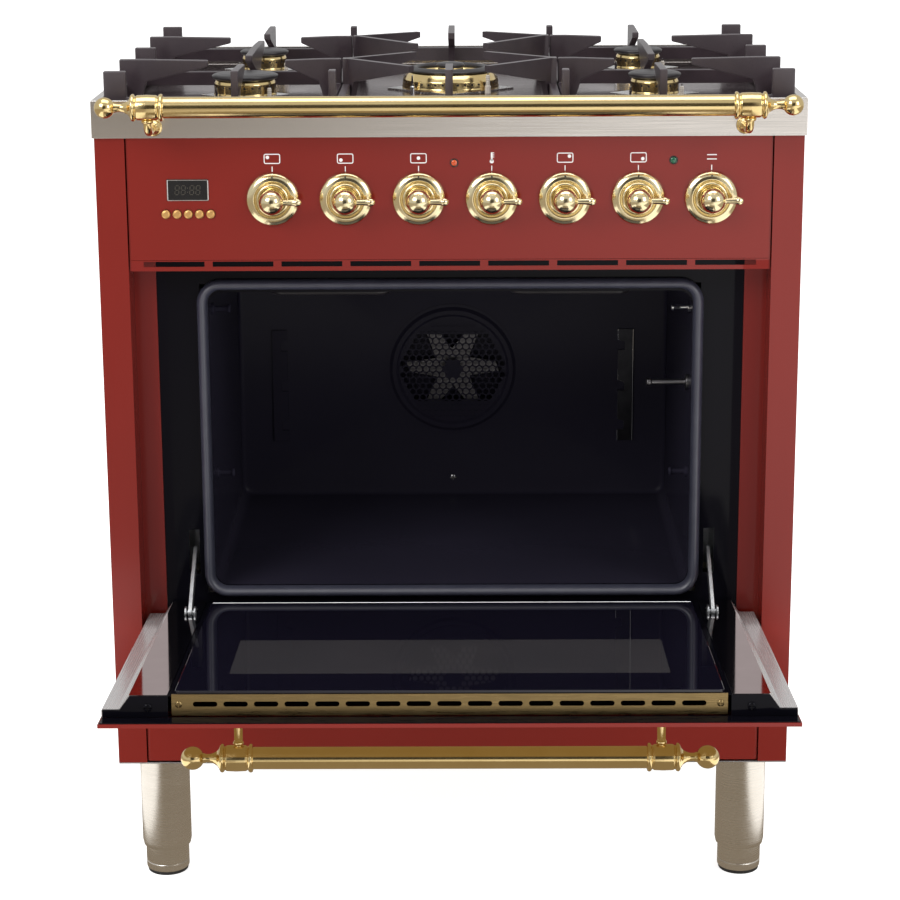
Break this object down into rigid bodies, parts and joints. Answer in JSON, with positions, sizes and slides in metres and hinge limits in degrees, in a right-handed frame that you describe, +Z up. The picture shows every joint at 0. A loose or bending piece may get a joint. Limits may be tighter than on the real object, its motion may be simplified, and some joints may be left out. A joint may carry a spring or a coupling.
{
  "type": "freestanding gas range",
  "caption": "Freestanding cooker on four steel legs: gas hob with cast grates, fan oven with drop-down door, storage drawer, brass rails and turning knobs.",
  "frame": {"origin": "on the floor, under the middle of the bounding box of the range as it rests, with its oven door open", "axes": "+Z up, +X to the right as seen from the front, -Y towards the person at the front"},
  "size_m": [0.76, 0.9936, 0.928],
  "materials": {
    "red_enamel": "gloss vitreous enamel",
    "brushed_steel": "brushed",
    "polished_brass": "polished and lacquered",
    "dull_brass": "satin",
    "cast_iron": "matte enamel",
    "black_enamel": "gloss vitreous enamel",
    "zinc_steel": "galvanised",
    "chrome": "polished",
    "aluminium": "satin",
    "dark_glass": "tinted reflective",
    "seal": "matte",
    "ceramic": "glazed ceramic",
    "insulation": "fibre",
    "black_plastic": "gloss",
    "lamp_lens": "translucent"
  },
  "bodies": {
    "cabinet": {"side_panels": "red_enamel", "rear_cover": "zinc_steel", "cabinet_screws": "zinc_steel", "base_pan": "zinc_steel", "leg_tubes": "brushed_steel", "oven_front_frame": "black_enamel", "door_gasket": "seal", "oven_liner": "black_enamel", "oven_elements": "chrome", "oven_insulation": "insulation", "fan_cover": "black_enamel", "fan_motor": "zinc_steel", "cavity_fittings": "chrome", "hinge_receivers": "zinc_steel", "control_panel": "red_enamel", "control_valves": "aluminium", "gas_manifold": "zinc_steel", "power_terminal_box": "black_plastic", "clock_module": "black_plastic", "pilot_lights": "lamp_lens", "cooktop": "brushed_steel", "burner_bases": "aluminium", "flame_spreaders": "polished_brass", "burner_electrodes": "ceramic", "towel_rail": "polished_brass"},
    "oven_door": {"door_panel": "red_enamel", "door_glass": "dark_glass", "door_liner": "black_enamel", "door_side_trims": "brushed_steel", "door_vent_strip": "dull_brass", "door_handle": "polished_brass", "door_hinge_forks": "zinc_steel"},
    "hinge_arms": {"hinge_arms": "chrome"},
    "drawer": {"drawer_front": "red_enamel", "drawer_box": "zinc_steel"},
    "fan": {"convection_fan": "aluminium"},
    "knob_1": {"knob_1": "polished_brass"},
    "knob_2": {"knob_2": "polished_brass"},
    "knob_3": {"knob_3": "polished_brass"},
    "knob_4": {"knob_4": "polished_brass"},
    "knob_5": {"knob_5": "polished_brass"},
    "knob_6": {"knob_6": "polished_brass"},
    "knob_7": {"knob_7": "polished_brass"},
    "clock_button_1": {"clock_button_1": "dull_brass"},
    "clock_button_2": {"clock_button_2": "dull_brass"},
    "clock_button_3": {"clock_button_3": "dull_brass"},
    "clock_button_4": {"clock_button_4": "dull_brass"},
    "clock_button_5": {"clock_button_5": "dull_brass"},
    "burner_cap_front_left": {"burner_cap_front_left": "cast_iron"},
    "burner_cap_rear_left": {"burner_cap_rear_left": "cast_iron"},
    "burner_cap_front_right": {"burner_cap_front_right": "cast_iron"},
    "burner_cap_rear_right": {"burner_cap_rear_right": "cast_iron"},
    "burner_cap_centre": {"burner_cap_centre": "cast_iron"},
    "grate_left": {"grate_left": "cast_iron"},
    "grate_centre": {"grate_centre": "cast_iron"},
    "grate_right": {"grate_right": "cast_iron"},
    "foot_front_left": {"foot_front_left": "brushed_steel"},
    "foot_front_right": {"foot_front_right": "brushed_steel"},
    "foot_rear_left": {"foot_rear_left": "brushed_steel"},
    "foot_rear_right": {"foot_rear_right": "brushed_steel"}
  },
  "joints": [
    {"name": "door_hinge", "type": "hinge", "parent": "cabinet", "child": "oven_door", "pos_m": [0, -0.10932, 0.3253], "axis": [1, 0, 0], "range_deg": [-86, 0]},
    {"name": "hinge_arm_pivot", "type": "hinge", "parent": "oven_door", "child": "hinge_arms", "pos_m": [0, -0.14737, 0.33598], "axis": [1, 0, 0], "range_deg": [-0.5, 91]},
    {"name": "drawer_slide", "type": "slide", "parent": "cabinet", "child": "drawer", "axis": [0, -1, 0], "range_m": [0, 0.28]},
    {"name": "fan_spin", "type": "hinge", "parent": "cabinet", "child": "fan", "pos_m": [0, 0.32878, 0.509], "axis": [0, 1, 0], "continuous": true},
    {"name": "knob_1_turn", "type": "hinge", "parent": "cabinet", "child": "knob_1", "pos_m": [-0.1889, -0.13122, 0.7936], "axis": [0, -1, 0], "range_deg": [0, 210]},
    {"name": "knob_2_turn", "type": "hinge", "parent": "cabinet", "child": "knob_2", "pos_m": [-0.1108, -0.13122, 0.7936], "axis": [0, -1, 0], "range_deg": [0, 210]},
    {"name": "knob_3_turn", "type": "hinge", "parent": "cabinet", "child": "knob_3", "pos_m": [-0.0327, -0.13122, 0.7936], "axis": [0, -1, 0], "range_deg": [0, 210]},
    {"name": "knob_4_turn", "type": "hinge", "parent": "cabinet", "child": "knob_4", "pos_m": [0.0454, -0.13122, 0.7936], "axis": [0, 1, 0], "range_deg": [0, 270]},
    {"name": "knob_5_turn", "type": "hinge", "parent": "cabinet", "child": "knob_5", "pos_m": [0.1235, -0.13122, 0.7936], "axis": [0, -1, 0], "range_deg": [0, 210]},
    {"name": "knob_6_turn", "type": "hinge", "parent": "cabinet", "child": "knob_6", "pos_m": [0.2016, -0.13122, 0.7936], "axis": [0, -1, 0], "range_deg": [0, 210]},
    {"name": "knob_7_turn", "type": "hinge", "parent": "cabinet", "child": "knob_7", "pos_m": [0.2797, -0.13122, 0.7936], "axis": [0, 1, 0], "range_deg": [0, 270]},
    {"name": "clock_button_1_press", "type": "slide", "parent": "cabinet", "child": "clock_button_1", "axis": [0, 1, 0], "range_m": [0, 0.002], "stiffness_N_per_m": 300, "springref_m": -0.003},
    {"name": "clock_button_2_press", "type": "slide", "parent": "cabinet", "child": "clock_button_2", "axis": [0, 1, 0], "range_m": [0, 0.002], "stiffness_N_per_m": 300, "springref_m": -0.003},
    {"name": "clock_button_3_press", "type": "slide", "parent": "cabinet", "child": "clock_button_3", "axis": [0, 1, 0], "range_m": [0, 0.002], "stiffness_N_per_m": 300, "springref_m": -0.003},
    {"name": "clock_button_4_press", "type": "slide", "parent": "cabinet", "child": "clock_button_4", "axis": [0, 1, 0], "range_m": [0, 0.002], "stiffness_N_per_m": 300, "springref_m": -0.003},
    {"name": "clock_button_5_press", "type": "slide", "parent": "cabinet", "child": "clock_button_5", "axis": [0, 1, 0], "range_m": [0, 0.002], "stiffness_N_per_m": 300, "springref_m": -0.003},
    {"name": "burner_cap_front_left_lift", "type": "slide", "parent": "cabinet", "child": "burner_cap_front_left", "axis": [0, 0, 1], "range_m": [0, 0.08]},
    {"name": "burner_cap_rear_left_lift", "type": "slide", "parent": "cabinet", "child": "burner_cap_rear_left", "axis": [0, 0, 1], "range_m": [0, 0.08]},
    {"name": "burner_cap_front_right_lift", "type": "slide", "parent": "cabinet", "child": "burner_cap_front_right", "axis": [0, 0, 1], "range_m": [0, 0.08]},
    {"name": "burner_cap_rear_right_lift", "type": "slide", "parent": "cabinet", "child": "burner_cap_rear_right", "axis": [0, 0, 1], "range_m": [0, 0.08]},
    {"name": "burner_cap_centre_lift", "type": "slide", "parent": "cabinet", "child": "burner_cap_centre", "axis": [0, 0, 1], "range_m": [0, 0.08]},
    {"name": "grate_left_lift", "type": "slide", "parent": "cabinet", "child": "grate_left", "axis": [0, 0, 1], "range_m": [0, 0.12]},
    {"name": "grate_centre_lift", "type": "slide", "parent": "cabinet", "child": "grate_centre", "axis": [0, 0, 1], "range_m": [0, 0.12]},
    {"name": "grate_right_lift", "type": "slide", "parent": "cabinet", "child": "grate_right", "axis": [0, 0, 1], "range_m": [0, 0.12]},
    {"name": "foot_front_left_level", "type": "slide", "parent": "cabinet", "child": "foot_front_left", "axis": [0, 0, -1], "range_m": [0, 0.04]},
    {"name": "foot_front_right_level", "type": "slide", "parent": "cabinet", "child": "foot_front_right", "axis": [0, 0, -1], "range_m": [0, 0.04]},
    {"name": "foot_rear_left_level", "type": "slide", "parent": "cabinet", "child": "foot_rear_left", "axis": [0, 0, -1], "range_m": [0, 0.04]},
    {"name": "foot_rear_right_level", "type": "slide", "parent": "cabinet", "child": "foot_rear_right", "axis": [0, 0, -1], "range_m": [0, 0.04]}
  ],
  "couplings": [
    {"joint": "hinge_arm_pivot", "follows": "door_hinge", "ratio": -1.0523}
  ]
}
